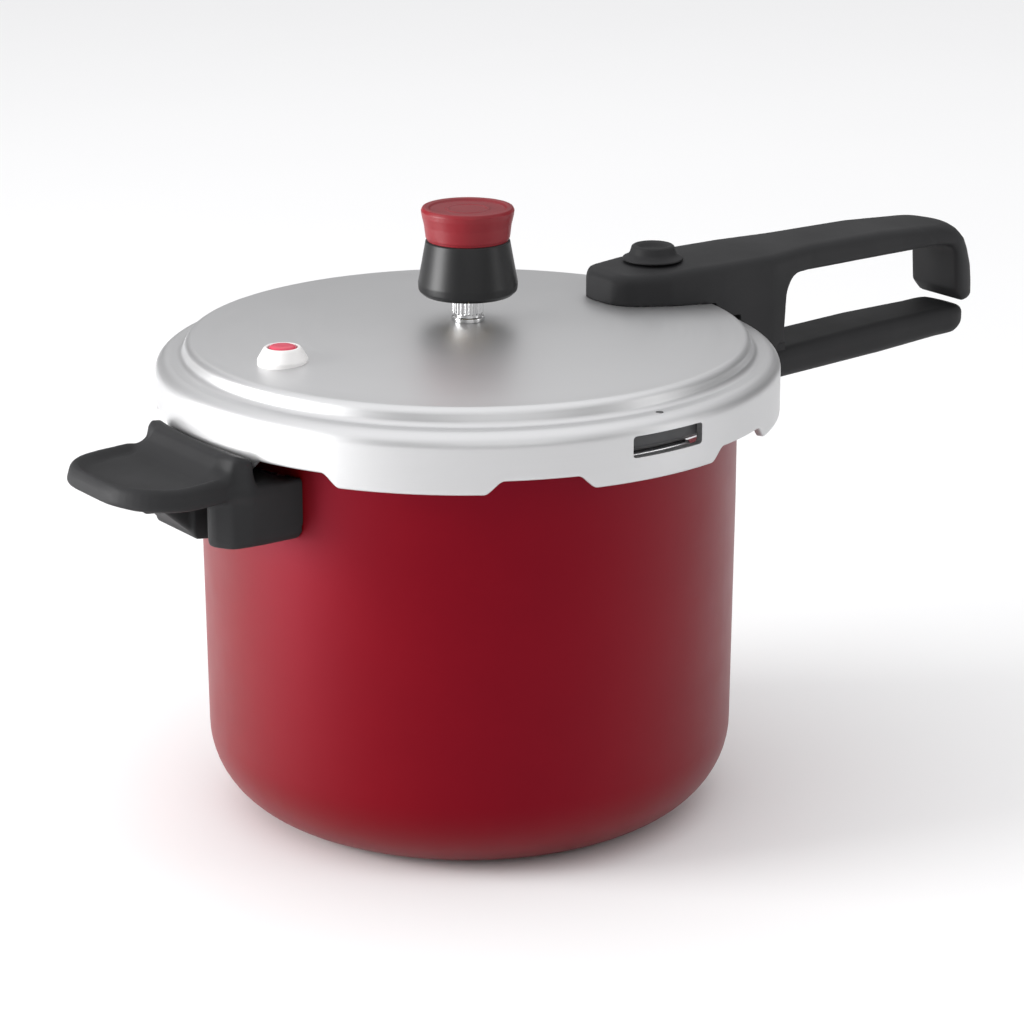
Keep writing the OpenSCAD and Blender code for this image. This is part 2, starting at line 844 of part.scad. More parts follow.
module weight_cap() {
    color("#b02832")
        rotate_extrude($fn = 96)
            polygon(concat(
                [[0, weight_neck], [15.4, weight_neck], [15.6, weight_neck + 1]],
                [[16.2, weight_neck + 6], [17.3, weight_top - 2.6]],
                arc(16.5, weight_top - 1.4, 1.2, -10, 90, 6),
                [[14.6, weight_top - 0.2], [13.6, weight_top - 0.9], [0, weight_top - 0.9]]
            ));
}

module weight_core() {
    color("#c8a24c")
        rotate_extrude($fn = 72)
            polygon([
                [pipe_r + 0.3, weight_low + 1], [pipe_r + 5, weight_low + 1], [pipe_r + 5, weight_neck],
                [0, weight_neck], [0, 213.2], [0.8, 214.2], [1.9, 214.5], [pipe_r + 0.3, 210.6]
            ]);
}

pot_body();
pot_handle_bracket();
pot_handle_rivets();
pot_handle();
pot_handle_screws();
helper_bracket();
helper_rivets();
helper_handle();
helper_screws();
gasket();
lid_shell();
lid_bracket();
lid_rivets();
lid_handle();
lid_underplate();
lid_handle_screws();
underplate_screws();
detent_spring();
vent_pipe();
vent_collar_nut();
vent_washer();
vent_hex_nut();
valve_grommet();
valve_collar();
lock_button();
lock_bar();
lock_button_screw();
weight_shell();
weight_cap();
weight_core();
float_pin();
float_button();
float_clip();
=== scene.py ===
"""Looks of a stovetop pressure cooker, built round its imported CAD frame.

Lengths are in millimetres until a mesh is made. Lights and camera are placed in metres.
"""

import math

import bmesh
import bpy
import numpy as np
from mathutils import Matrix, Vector


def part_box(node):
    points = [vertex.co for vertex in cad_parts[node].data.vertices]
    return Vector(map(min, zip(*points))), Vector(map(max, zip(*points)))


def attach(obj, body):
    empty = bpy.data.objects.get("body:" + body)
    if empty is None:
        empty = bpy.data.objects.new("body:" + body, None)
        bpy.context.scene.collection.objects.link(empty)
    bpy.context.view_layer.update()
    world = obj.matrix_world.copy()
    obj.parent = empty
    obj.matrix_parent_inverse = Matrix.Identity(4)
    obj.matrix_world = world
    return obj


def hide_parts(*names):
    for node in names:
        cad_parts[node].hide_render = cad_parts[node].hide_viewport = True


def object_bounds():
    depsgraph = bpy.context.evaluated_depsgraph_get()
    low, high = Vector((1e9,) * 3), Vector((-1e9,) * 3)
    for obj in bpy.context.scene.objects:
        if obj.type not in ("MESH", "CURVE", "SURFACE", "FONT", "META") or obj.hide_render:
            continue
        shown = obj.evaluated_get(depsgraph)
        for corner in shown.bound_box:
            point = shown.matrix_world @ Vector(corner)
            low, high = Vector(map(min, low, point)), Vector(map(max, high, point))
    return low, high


MM = 0.001
SMOOTH_ANGLE = 32

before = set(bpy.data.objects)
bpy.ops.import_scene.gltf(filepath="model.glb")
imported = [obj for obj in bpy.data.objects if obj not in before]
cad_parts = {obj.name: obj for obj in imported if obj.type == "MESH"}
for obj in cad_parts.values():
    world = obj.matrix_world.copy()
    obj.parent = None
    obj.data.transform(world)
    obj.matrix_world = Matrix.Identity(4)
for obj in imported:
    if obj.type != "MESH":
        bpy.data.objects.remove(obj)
cad_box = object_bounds()


def span(node):
    """Lowest and highest corner of a CAD node, in millimetres."""
    low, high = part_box(node)
    return np.array(low) / MM, np.array(high) / MM


# ---- driving sizes, read from the frame ----

pot_high = span("pot_body")[1]
lid_low, lid_high = span("lid_shell")
grip_low, grip_high = span("lid_handle")
rear_high = span("pot_handle")[1]
help_low, help_high = span("helper_handle")
ring_low, ring_high = span("gasket")
weight_low, weight_high = span("weight_shell")
cap_low, cap_high = span("weight_cap")
nut_low, nut_high = span("vent_collar_nut")
collar_low, collar_high = span("valve_collar")
float_low, float_high = span("float_button")
button_low, button_high = span("lock_button")

LUG_R = pot_high[0]
RIM_TOP = pot_high[2]
RIM_BOTTOM = RIM_TOP - 3
RIM_R = LUG_R - 8
POT_R = RIM_R - 2.5
POT_WALL = 3
BASE_T = 5
CORNER_R = 32
LUG_COUNT = 8
LUG_HALF = 10

LID_R = lid_high[0]
SKIRT_BOTTOM = lid_low[2]
DISC_Z = lid_high[2]
LID_T = 3
DISC_R = 107.6
DISC_DROP = 5.1
ANNULUS_Z = DISC_Z - 11.2
STEP_R = 73
STEP_T = 0.8
TAB_R = LID_R - 12.5
TAB_HALF = 10.5
WINDOW_AT = math.radians(272)
DOME_EDGE_R = DISC_R - 3
STEP_TOP_R = 3.4
STEP_FOOT_R = 2.8
SHOULDER_R = 5.5


# ---- outlines and meshes ----


def arc(cu, cv, radius, start, end, steps=8):
    """Points of an arc, angles in degrees."""
    turn = np.radians(np.linspace(start, end, steps + 1))
    return [(cu + radius * math.cos(t), cv + radius * math.sin(t)) for t in turn]


def filleted(corners, closed=False, steps=5):
    """Outline through corners (u, v, radius), each rounded to its radius."""
    # a blend takes up less than half of the sides beside it
    share = 0.49
    out = []
    last = len(corners) - 1
    for i, (u, v, radius) in enumerate(corners):
        here = np.array([u, v], float)
        before = np.array(corners[i - 1][:2], float) - here
        after = np.array(corners[(i + 1) % len(corners)][:2], float) - here
        lengths = np.linalg.norm(before), np.linalg.norm(after)
        if radius == 0 or (not closed and i in (0, last)):
            out.append((u, v))
            continue
        if min(lengths) < 1e-6:
            out += [(u, v)] * (steps + 1)
            continue
        before, after = before / lengths[0], after / lengths[1]
        half = math.acos(float(np.clip(before @ after, -1, 1))) / 2
        reach = min(radius / math.tan(half), share * lengths[0], share * lengths[1])
        for t in np.linspace(0, 1, steps + 1):
            # a quadratic blend between the two tangent points
            p = here + before * reach * (1 - t) ** 2 + after * reach * t**2
            out.append(tuple(p))
    return out


def sharp(points):
    """Corners without a fillet."""
    return [(u, v, 0) for u, v in points]


def add_object(name, points, faces, smooth_angle=SMOOTH_ANGLE):
    """Object from points in millimetres, with normals outward and smooth shading up to an angle."""
    mesh = bpy.data.meshes.new(name)
    mesh.from_pydata((np.asarray(points) * MM).tolist(), [], faces)
    bm = bmesh.new()
    bm.from_mesh(mesh)
    bmesh.ops.remove_doubles(bm, verts=bm.verts, dist=0.002 * MM)
    bmesh.ops.dissolve_degenerate(bm, edges=bm.edges, dist=0.001 * MM)
    bmesh.ops.recalc_face_normals(bm, faces=bm.faces)
    bm.to_mesh(mesh)
    bm.free()
    mesh.shade_smooth()
    mesh.set_sharp_from_angle(angle=math.radians(smooth_angle))
    obj = bpy.data.objects.new(name, mesh)
    bpy.context.scene.collection.objects.link(obj)
    return obj


def slice_angles(edges=(), coarse=2.0, blend=0.7):
    """Angles of a turned piece's slices: even, with more at the edges of lugs and gaps."""
    even = np.arange(0, 360, coarse)
    keep = [a for a in even if all(abs((a - e + 180) % 360 - 180) > blend for e in edges)]
    extra = [(e + d) % 360 for e in edges for d in np.linspace(-blend, blend, 7)]
    return np.radians(sorted(set(np.round(keep + extra, 4))))


def turned(name, section, angles, centre=(0, 0), smooth_angle=SMOOTH_ANGLE):
    """Skin swept round Z.

    section(angle) gives a slice as (r, z) points, which closes on itself or runs from axis to axis.
    """
    slices = np.array([section(a) for a in angles])
    count, points_each = slices.shape[:2]
    cos, sin = np.cos(angles)[:, None], np.sin(angles)[:, None]
    r, z = slices[..., 0], slices[..., 1]
    points = np.stack([centre[0] + r * cos, centre[1] + r * sin, z], -1).reshape(-1, 3)
    on_axis = abs(r[0, 0]) < 1e-9
    strips = points_each - 1 if on_axis else points_each
    faces = []
    for i in range(count):
        here, there = i * points_each, (i + 1) % count * points_each
        for k in range(strips):
            m = (k + 1) % points_each
            faces.append((here + k, there + k, there + m, here + m))
    return add_object(name, points, faces, smooth_angle)


def lathe(name, outline, centre=(0, 0), steps=128):
    """Turned piece with the same outline all round."""
    angles = slice_angles(coarse=360 / steps)
    return turned(name, lambda angle: outline, angles, centre)


def smooth(t):
    """Soft step from 0 to 1 as t goes from 0 to 1."""
    t = np.clip(t, 0, 1)
    return t * t * (3 - 2 * t)


def outline_distance(outline, u, v):
    """Signed distance from a closed outline in its plane, below zero inside."""
    u, v = np.broadcast_arrays(u, v)
    nearest = np.full(u.shape, np.inf)
    inside = np.zeros(u.shape, bool)
    for (au, av), (bu, bv) in zip(outline, outline[1:] + outline[:1]):
        eu, ev = bu - au, bv - av
        length = eu * eu + ev * ev
        if length < 1e-12:
            continue
        t = np.clip(((u - au) * eu + (v - av) * ev) / length, 0, 1)
        nearest = np.minimum(nearest, (u - au - t * eu) ** 2 + (v - av - t * ev) ** 2)
        if ev:
            inside ^= ((av > v) != (bv > v)) & (u < au + (v - av) * eu / ev)
    return np.where(inside, -1, 1) * np.sqrt(nearest)


def box_distance(x, y, z, low, high):
    """Signed distance from a box, below zero inside."""
    outside, inner = 0, -np.inf
    for value, a, b in zip((x, y, z), low, high):
        d = np.maximum(a - value, value - b)
        outside = outside + np.maximum(d, 0) ** 2
        inner = np.maximum(inner, d)
    return np.where(inner > 0, np.sqrt(outside), inner)


def both(a, b, radius=0.0):
    """Where two solids meet, with the outer edge rounded."""
    if np.ndim(radius) == 0 and radius == 0:
        return np.maximum(a, b)
    flat = np.minimum(np.maximum(a, b), -radius)
    return flat + np.hypot(np.maximum(a + radius, 0), np.maximum(b + radius, 0))


def either(a, b, radius=0.0):
    """Two solids joined, with the inner corner filled."""
    return -both(-a, -b, radius)


def sculpted(name, field, low, high, cell, smooth_angle=50):
    """Mesh of the surface where field(x, y, z) is zero, with one vertex in each cell it crosses."""
    axes = [np.arange(a - 2 * cell, b + 3 * cell, cell) for a, b in zip(low, high)]
    grid = np.meshgrid(*axes, indexing="ij", sparse=True)
    value = np.broadcast_to(field(*grid), [len(a) for a in axes]).copy()
    shape = np.array(value.shape) - 1
    total = np.zeros((*shape, 3))
    crossings = np.zeros(shape)
    corners = [(i, j, k) for i in (0, 1) for j in (0, 1) for k in (0, 1)]

    def at(corner):
        return value[tuple(slice(start, start + n) for start, n in zip(corner, shape))]

    for a in corners:
        for axis in range(3):
            if a[axis]:
                continue
            b = tuple(v + (n == axis) for n, v in enumerate(a))
            va, vb = at(a), at(b)
            crossed = (va < 0) != (vb < 0)
            t = np.where(crossed, va / np.where(crossed, va - vb, 1), 0)
            place = np.array(a, float) * crossed[..., None]
            place[..., axis] += t
            total += place
            crossings += crossed
    active = crossings > 0
    number = np.full(shape, -1)
    number[active] = np.arange(active.sum())
    cells = np.argwhere(active)
    points = cells + total[active] / crossings[active][:, None]
    points = np.stack([axes[n][0] + points[:, n] * cell for n in range(3)], -1)
    faces = []
    for axis in range(3):
        u, v = (axis + 1) % 3, (axis + 2) % 3
        first = [slice(1, -1)] * 3
        second = list(first)
        second[axis] = slice(2, None)
        va, vb = value[tuple(first)], value[tuple(second)]
        for i in np.argwhere((va < 0) != (vb < 0)):
            c = i + 1
            quad = []
            for du, dv in ((0, 0), (-1, 0), (-1, -1), (0, -1)):
                n = c.copy()
                n[u] += du
                n[v] += dv
                quad.append(int(number[tuple(n)]))
            faces.append(tuple(quad))
    # slide each vertex onto the true surface, less than half a cell at a time
    step, least_slope, furthest = 0.02, 0.25, 0.45 * cell
    for _ in range(3):
        here = field(*points.T)
        moved = [field(*(points + step * unit).T) for unit in np.eye(3)]
        slope = np.stack([(there - here) / step for there in moved], -1)
        size = np.maximum((slope**2).sum(1), least_slope)
        move = -here[:, None] * slope / size[:, None]
        reach = np.linalg.norm(move, axis=1, keepdims=True)
        points = points + move * np.minimum(1, furthest / np.maximum(reach, 1e-9))
    return add_object(name, points, faces, smooth_angle)


# ---- materials ----


class Shader:
    """A material with one principled shader, built node by node."""

    def __init__(self, name, color, rough, metallic=0.0, **constants):
        self.material = bpy.data.materials.new(name)
        self.material.use_nodes = True
        self.tree = self.material.node_tree
        self.out = self.tree.nodes["Principled BSDF"]
        self.out.inputs["Base Color"].default_value = (*color, 1)
        self.out.inputs["Roughness"].default_value = rough
        self.out.inputs["Metallic"].default_value = metallic
        for socket, value in constants.items():
            self.out.inputs[socket.replace("_", " ")].default_value = value
        self.place = self.node("ShaderNodeTexCoord").outputs["Object"]
        self.normal = None

    def node(self, kind, **settings):
        made = self.tree.nodes.new(kind)
        for key, value in settings.items():
            setattr(made, key, value)
        return made

    def feed(self, socket, value):
        if isinstance(value, bpy.types.NodeSocket):
            self.tree.links.new(value, socket)
        else:
            socket.default_value = value

    def math(self, operation, a, b=0.0):
        made = self.node("ShaderNodeMath", operation=operation)
        self.feed(made.inputs[0], a)
        self.feed(made.inputs[1], b)
        return made.outputs[0]

    def stretched(self, scale):
        made = self.node("ShaderNodeMapping")
        self.feed(made.inputs["Vector"], self.place)
        made.inputs["Scale"].default_value = scale
        return made.outputs["Vector"]

    def noise(self, scale, detail, vector=None):
        made = self.node("ShaderNodeTexNoise")
        self.feed(made.inputs["Vector"], vector or self.place)
        made.inputs["Scale"].default_value = scale
        made.inputs["Detail"].default_value = detail
        return made.outputs["Fac"]

    def turning(self, across, along):
        """Coordinates for fine rings round Z: across sets their pitch, along their slow change."""
        split = self.node("ShaderNodeSeparateXYZ")
        self.feed(split.inputs[0], self.place)
        x, y, z = split.outputs
        squares = [self.math("MULTIPLY", value, value) for value in (x, y)]
        radius = self.math("SQRT", self.math("ADD", *squares))
        joined = self.node("ShaderNodeCombineXYZ")
        reach = self.math("MAXIMUM", radius, MM)
        self.feed(joined.inputs[0], self.math("MULTIPLY", self.math("ADD", radius, z), across))
        self.feed(joined.inputs[1], self.math("MULTIPLY", self.math("DIVIDE", x, reach), along))
        self.feed(joined.inputs[2], self.math("MULTIPLY", self.math("DIVIDE", y, reach), along))
        return joined.outputs[0]

    def between(self, fac, low, high, start=0.3, end=0.7):
        """Number from low to high as fac goes from start to end."""
        made = self.node("ShaderNodeMapRange")
        self.feed(made.inputs["Value"], fac)
        limits = {"From Min": start, "From Max": end, "To Min": low, "To Max": high}
        for socket, value in limits.items():
            made.inputs[socket].default_value = value
        return made.outputs["Result"]

    def tint(self, fac, first, second):
        made = self.node("ShaderNodeMix", data_type="RGBA")
        self.feed(made.inputs["Factor"], fac)
        made.inputs["A"].default_value = (*first, 1)
        made.inputs["B"].default_value = (*second, 1)
        self.feed(self.out.inputs["Base Color"], made.outputs["Result"])
        return self

    def rough(self, value):
        self.feed(self.out.inputs["Roughness"], value)
        return self

    def bump(self, height, strength, distance):
        """Adds relief; distance is the depth in millimetres."""
        made = self.node("ShaderNodeBump")
        made.inputs["Strength"].default_value = strength
        made.inputs["Distance"].default_value = distance * MM
        self.feed(made.inputs["Height"], height)
        if self.normal:
            self.feed(made.inputs["Normal"], self.normal)
        self.normal = made.outputs["Normal"]
        self.feed(self.out.inputs["Normal"], self.normal)
        return self


def lacquer():
    """Baked red lacquer: a faint orange peel and a slow change in gloss."""
    gloss = {"Specular_IOR_Level": 0.9, "Specular_Tint": (1.0, 0.06, 0.16, 1)}
    s = Shader("pot_lacquer", (0.115, 0.001, 0.001), 0.42, **gloss)
    s.tint(s.between(s.noise(35, 3), 0, 1), (0.111, 0.0009, 0.0009), (0.119, 0.0011, 0.0012))
    s.rough(s.between(s.noise(60, 4), 0.38, 0.42))
    s.bump(s.noise(700, 2), 0.12, 0.05)
    return s.material


def spun_aluminium(
    name="lid_aluminium", color=(0.60, 0.60, 0.605), rough=(0.4, 0.46), metallic=0.9
):
    """Satin aluminium, with very fine rings from the polishing mop and a few soft scratches."""
    s = Shader(name, color, 0.3, metallic=metallic)
    rings = s.noise(1.0, 3, s.turning(2600, 2.5))
    mixed = s.math("ADD", s.math("MULTIPLY", rings, 0.8), s.math("MULTIPLY", s.noise(40, 5), 0.2))
    s.rough(s.between(mixed, *rough))
    s.tint(s.between(rings, 0, 1), tuple(c * 0.98 for c in color), color)
    s.bump(rings, 0.12, 0.02)
    s.bump(s.noise(1500, 2), 0.08, 0.02)
    return s.material


def nonstick():
    """Dark grey non-stick lining with pale flecks."""
    s = Shader("nonstick_lining", (0.05, 0.05, 0.052), 0.45)
    flecks = s.between(s.noise(900, 1), 0, 1, 0.66, 0.72)
    s.tint(flecks, (0.045, 0.045, 0.047), (0.16, 0.16, 0.165))
    s.rough(s.between(s.noise(120, 3), 0.4, 0.52))
    s.bump(s.noise(1100, 2), 0.15, 0.04)
    return s.material


def machined_base():
    """Bare aluminium underside with turned grooves."""
    s = Shader("machined_base", (0.72, 0.72, 0.73), 0.35, metallic=1.0)
    grooves = s.noise(1.0, 1, s.turning(1100, 0.6))
    s.rough(s.between(grooves, 0.26, 0.42))
    s.tint(s.between(s.noise(25, 4), 0, 1), (0.66, 0.66, 0.67), (0.76, 0.76, 0.77))
    s.bump(grooves, 0.35, 0.12)
    return s.material


def moulded(name, color, rough, texture=2200, depth=0.05, strength=0.22, **constants):
    """Moulded plastic with a spark-eroded texture and slightly glossier handled patches."""
    s = Shader(name, color, rough, **constants)
    patches = s.noise(28, 4)
    s.tint(s.between(patches, 0, 1), color, tuple(c * 1.18 for c in color))
    s.rough(s.between(patches, rough * 1.06, rough * 0.9))
    s.bump(s.noise(texture, 3), strength, depth)
    return s.material


def metal(name, color, rough, pitch=(1500, 200, 1500), strength=0.15):
    """Drawn or turned metal with fine lines."""
    s = Shader(name, color, rough, metallic=1.0)
    lines = s.noise(1.0, 3, s.stretched(pitch))
    s.rough(s.between(lines, rough * 0.8, rough * 1.25))
    s.tint(s.between(s.noise(150, 3), 0, 1), tuple(c * 0.93 for c in color), color)
    s.bump(lines, strength, 0.02)
    return s.material


def rubber(name, color, rough, sheen=0.2):
    """Rubber or silicone with a dusty bloom and a soft skin."""
    s = Shader(name, color, rough, Sheen_Weight=sheen, Sheen_Roughness=0.5)
    s.tint(s.between(s.noise(70, 4), 0, 1), color, tuple(min(1, c * 1.15 + 0.004) for c in color))
    s.rough(s.between(s.noise(200, 3), rough * 0.9, rough * 1.12))
    s.bump(s.noise(1300, 3), 0.18, 0.04)
    return s.material


finishes = {
    "pot_lacquer": lacquer(),
    "lid_aluminium": spun_aluminium(),
    "rivet_aluminium": spun_aluminium("rivet_aluminium", (0.82, 0.82, 0.83), (0.2, 0.3)),
    "steel": metal("steel", (0.56, 0.57, 0.58), 0.33),
    "polished_steel": metal("polished_steel", (0.78, 0.78, 0.78), 0.16, (900, 900, 900), 0.06),
    "brass": metal("brass", (0.78, 0.56, 0.24), 0.24, (300, 300, 2600)),
    "handle_black": moulded(
        "handle_black", (0.0185, 0.0185, 0.0195), 0.62, Specular_IOR_Level=0.22
    ),
    "weight_black": moulded(
        "weight_black", (0.009, 0.009, 0.0095), 0.42, 1600, 0.02, 0.1, Specular_IOR_Level=0.35
    ),
    "cap_red": moulded(
        "cap_red", (0.2, 0.006, 0.012), 0.42, 1700, 0.02, 0.12, Specular_IOR_Level=0.4
    ),
    "button_red": moulded("button_red", (0.62, 0.055, 0.10), 0.3, 1700, 0.02, 0.1),
    "white_plastic": moulded("white_plastic", (0.80, 0.79, 0.78), 0.32, 1700, 0.02, 0.1),
    "black_rubber": rubber("black_rubber", (0.015, 0.015, 0.016), 0.6),
    "gasket_rubber": rubber("gasket_rubber", (0.035, 0.035, 0.037), 0.5),
}
lining = nonstick()
base_metal = machined_base()

# the finish of each CAD node, by what it is made of
node_finish = {
    "rivet_aluminium": ["pot_handle_rivets", "helper_rivets", "lid_rivets"],
    "steel": [
        "pot_handle_bracket", "helper_bracket", "lid_bracket", "pot_handle_screws", "helper_screws",
        "lid_handle_screws", "underplate_screws", "detent_spring", "lock_bar", "lock_button_screw",
        "vent_hex_nut", "float_clip",
    ],
    "brass": ["vent_pipe", "weight_core", "float_pin"],
    "handle_black": ["lid_underplate", "vent_washer"],
    "black_rubber": ["valve_grommet"],
}


def finish_cad_nodes():
    for finish, names in node_finish.items():
        for name in names:
            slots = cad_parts[name].data.materials
            slots.clear()
            slots.append(finishes[finish])


def piece(obj, body, finish, *nodes):
    """Gives a piece its finish and its body, in place of its CAD nodes."""
    if not obj.data.materials:
        obj.data.materials.append(finishes[finish])
    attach(obj, body)
    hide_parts(*nodes)
    return obj


def paint_faces(obj, choose, *materials):
    """Gives each face the material picked by choose(centre in millimetres, normal)."""
    for material in materials:
        obj.data.materials.append(material)
    for face in obj.data.polygons:
        face.material_index = choose(face.center / MM, face.normal)


# ---- pot ----


def near_edge(angle, period, half, width):
    """1 inside evenly spaced sectors and 0 outside, with a soft step; sizes in degrees."""
    off = abs((math.degrees(angle) + period / 2) % period - period / 2)
    return float(smooth((half - off) / width + 0.5))


def build_pot():
    pitch = 360 / LUG_COUNT
    foot_r = POT_R - 0.8
    straight_z = 120
    in_r = POT_R - POT_WALL
    bend_r = foot_r - CORNER_R
    outer_bend = sharp(arc(bend_r, CORNER_R, CORNER_R, -88, 0, 16))
    inner_bend = sharp(arc(bend_r, CORNER_R + BASE_T - POT_WALL, CORNER_R - POT_WALL, 0, -90, 14))

    def section(angle):
        lug_r = RIM_R + (LUG_R - RIM_R) * near_edge(angle, pitch, LUG_HALF, 0.8)
        return filleted(
            [
                (0, 0, 0), (60, 0, 0), (bend_r + 0.5, 0, 0),
                *outer_bend,
                (POT_R, straight_z, 60), (POT_R, RIM_BOTTOM - 1.5, 0.8), (RIM_R, RIM_BOTTOM, 0.4),
                (lug_r + 0.01, RIM_BOTTOM, 0.7), (lug_r + 0.01, RIM_TOP, 0.8), (in_r, RIM_TOP, 1.2),
                (in_r, straight_z, 60),
                *inner_bend,
                (40, BASE_T, 0), (0, BASE_T, 0),
            ],
            steps=4,
        )

    edges = [i * pitch + s * LUG_HALF for i in range(LUG_COUNT) for s in (-1, 1)]
    pot = turned("pot_shell", section, slice_angles(edges, 1.5))

    outside, inside, base, rim = range(4)

    def choose(centre, normal):
        r = math.hypot(centre.x, centre.y)
        if centre.z < 0.05:
            return base
        outward = normal.x * centre.x + normal.y * centre.y > 0
        if centre.z > RIM_TOP - 0.4 or (outward and r > RIM_R - 0.3):
            return rim
        lined = r < in_r + 0.6 and (normal.z > 0.5 or not outward) and centre.z > 1
        return inside if lined else outside

    bare = finishes["rivet_aluminium"]
    paint_faces(pot, choose, finishes["pot_lacquer"], lining, base_metal, bare)
    piece(pot, "pot", "pot_lacquer", "pot_body")


# ---- lid ----


def dome(r):
    """Height of the disc's top at a radius."""
    return DISC_Z - DISC_DROP * (r / DISC_R) ** 2


LID_EDGE_Z = dome(DOME_EDGE_R)
LID_TOP = (
    [(r, dome(r)) for r in np.linspace(0, DOME_EDGE_R, 14)]
    + arc(DOME_EDGE_R, LID_EDGE_Z - STEP_TOP_R, STEP_TOP_R, 84, 8, 8)
    + arc(DISC_R + 3.6, ANNULUS_Z + STEP_FOOT_R, STEP_FOOT_R, 186, 270, 8)
    + arc(LID_R - SHOULDER_R, ANNULUS_Z - SHOULDER_R, SHOULDER_R, 90, 0, 12)
)


def build_lid():
    pitch = 360 / LUG_COUNT
    wall_in = LID_R - LID_T
    channel_z = ANNULUS_Z - LID_T
    gap_rise = 4.9
    gap_half, slope_half = 8.2, 3.6
    tab_low, tab_t = SKIRT_BOTTOM + 1.3, 3.7

    def section(angle):
        in_gap = near_edge(angle - math.radians(pitch / 2), pitch, gap_half, slope_half)
        foot = SKIRT_BOTTOM + gap_rise * in_gap
        tab_r = wall_in - (wall_in - TAB_R) * near_edge(angle, pitch, TAB_HALF, 0.7)
        low = max(tab_low, foot + 1.0)
        high = max(tab_low + tab_t, low + 0.3)
        skirt = np.linspace(ANNULUS_Z - 6.3, foot + 2, 9)
        under = [
            (LID_R, foot, 0.9), (wall_in, foot, 0.7), (wall_in, low, 0.25),
            (tab_r - 0.01, low, 0.5), (tab_r - 0.01, high, 0.5), (wall_in, high + 0.01, 0.25),
        ]
        inner = (
            [(wall_in, z) for z in np.linspace(high + 1.2, ANNULUS_Z - 5.6, 5)]
            + arc(LID_R - SHOULDER_R, ANNULUS_Z - SHOULDER_R, SHOULDER_R - LID_T, 0, 90, 6)
            + [(DISC_R + 1.5, channel_z), (DISC_R - 2.4, channel_z + 2.2)]
            + [(DISC_R - 4.5, LID_EDGE_Z - 4.2)]
            + [(r, dome(r) - LID_T - STEP_T) for r in np.linspace(STEP_R + 18, STEP_R, 5)]
            + [(r, dome(r) - LID_T) for r in np.linspace(STEP_R - STEP_T, 0, 9)]
        )
        lower = [(LID_R, float(z), 0) for z in skirt] + under + sharp(inner)
        return LID_TOP + filleted(lower, steps=4)

    gap_at = [(i + 0.5) * pitch + s * gap_half for i in range(LUG_COUNT) for s in (-1, 1)]
    tab_at = [i * pitch + s * TAB_HALF for i in range(LUG_COUNT) for s in (-1, 1)]
    fine = [a for edge in gap_at for a in np.linspace(edge - 1.9, edge + 1.9, 13)]
    coarse = list(np.degrees(slice_angles(tab_at, 1.0)))
    angles = sorted(set(np.round(coarse + [a % 360 for a in fine], 4)))
    lid = turned("lid_pressing", section, np.radians(angles))
    cut_lid_openings(lid)
    piece(lid, "lid", "lid_aluminium", "lid_shell")


def cutter(name, outline, place, turn, depth):
    """Prism with the given outline in its own XY plane, used to cut an opening."""
    count = len(outline)
    points = [(u, v, w) for w in (-depth / 2, depth / 2) for u, v in outline]
    sides = [(i, (i + 1) % count, count + (i + 1) % count, count + i) for i in range(count)]
    caps = [tuple(range(count - 1, -1, -1)), tuple(range(count, 2 * count))]
    obj = add_object(name, points, sides + caps)
    obj.rotation_euler = turn
    obj.location = Vector(place) * MM
    return obj


def cut(obj, tools):
    """Cuts the tools out of an object and removes them."""
    for tool in tools:
        bpy.context.view_layer.update()
        hole = obj.modifiers.new("cut", "BOOLEAN")
        hole.object = tool
        hole.operation = "DIFFERENCE"
        hole.solver = "EXACT"
        evaluated = obj.evaluated_get(bpy.context.evaluated_depsgraph_get())
        mesh = bpy.data.meshes.new_from_object(evaluated)
        obj.modifiers.clear()
        obj.data = mesh
        bpy.data.objects.remove(tool)
    mesh.name = obj.name
    mesh.shade_smooth()
    mesh.set_sharp_from_angle(angle=math.radians(SMOOTH_ANGLE))


def cut_lid_openings(lid):
    window_z, half_w, half_h, corner = 169.2, 16, 4, 1.5
    hole_out, hole_z, hole_r = 113, 176, 1.5
    vent_r, vent_z, valve_r, valve_z = 4.05, 186, 7.05, 184
    wall_depth, disc_depth = 12, 16
    upright = (0, 0, 0)
    corners = [(-half_w, -half_h), (half_w, -half_h), (half_w, half_h), (-half_w, half_h)]
    outline = filleted([(u, v, corner) for u, v in corners], closed=True)
    out = Vector((math.cos(WINDOW_AT), math.sin(WINDOW_AT), 0))
    window = cutter(
        "window_cutter", outline, out * (LID_R - 2) + Vector((0, 0, window_z)),
        (math.pi / 2, 0, WINDOW_AT + math.pi / 2), wall_depth,
    )
    hole_round = arc(0, 0, hole_r, 0, 345, 23)
    hole_at = out * hole_out + Vector((0, 0, hole_z))
    hole = cutter("hole_cutter", hole_round, hole_at, upright, wall_depth)
    vent_round = arc(0, 0, vent_r, 0, 352.5, 47)
    vent = cutter("vent_cutter", vent_round, (0, 0, vent_z), upright, disc_depth)
    centre = (collar_low + collar_high) / 2
    valve_round = arc(0, 0, valve_r, 0, 352.5, 47)
    valve_at = (centre[0], centre[1], valve_z)
    valve = cutter("valve_cutter", valve_round, valve_at, upright, disc_depth)
    cut(lid, [window, hole, vent, valve])


# ---- sealing ring ----


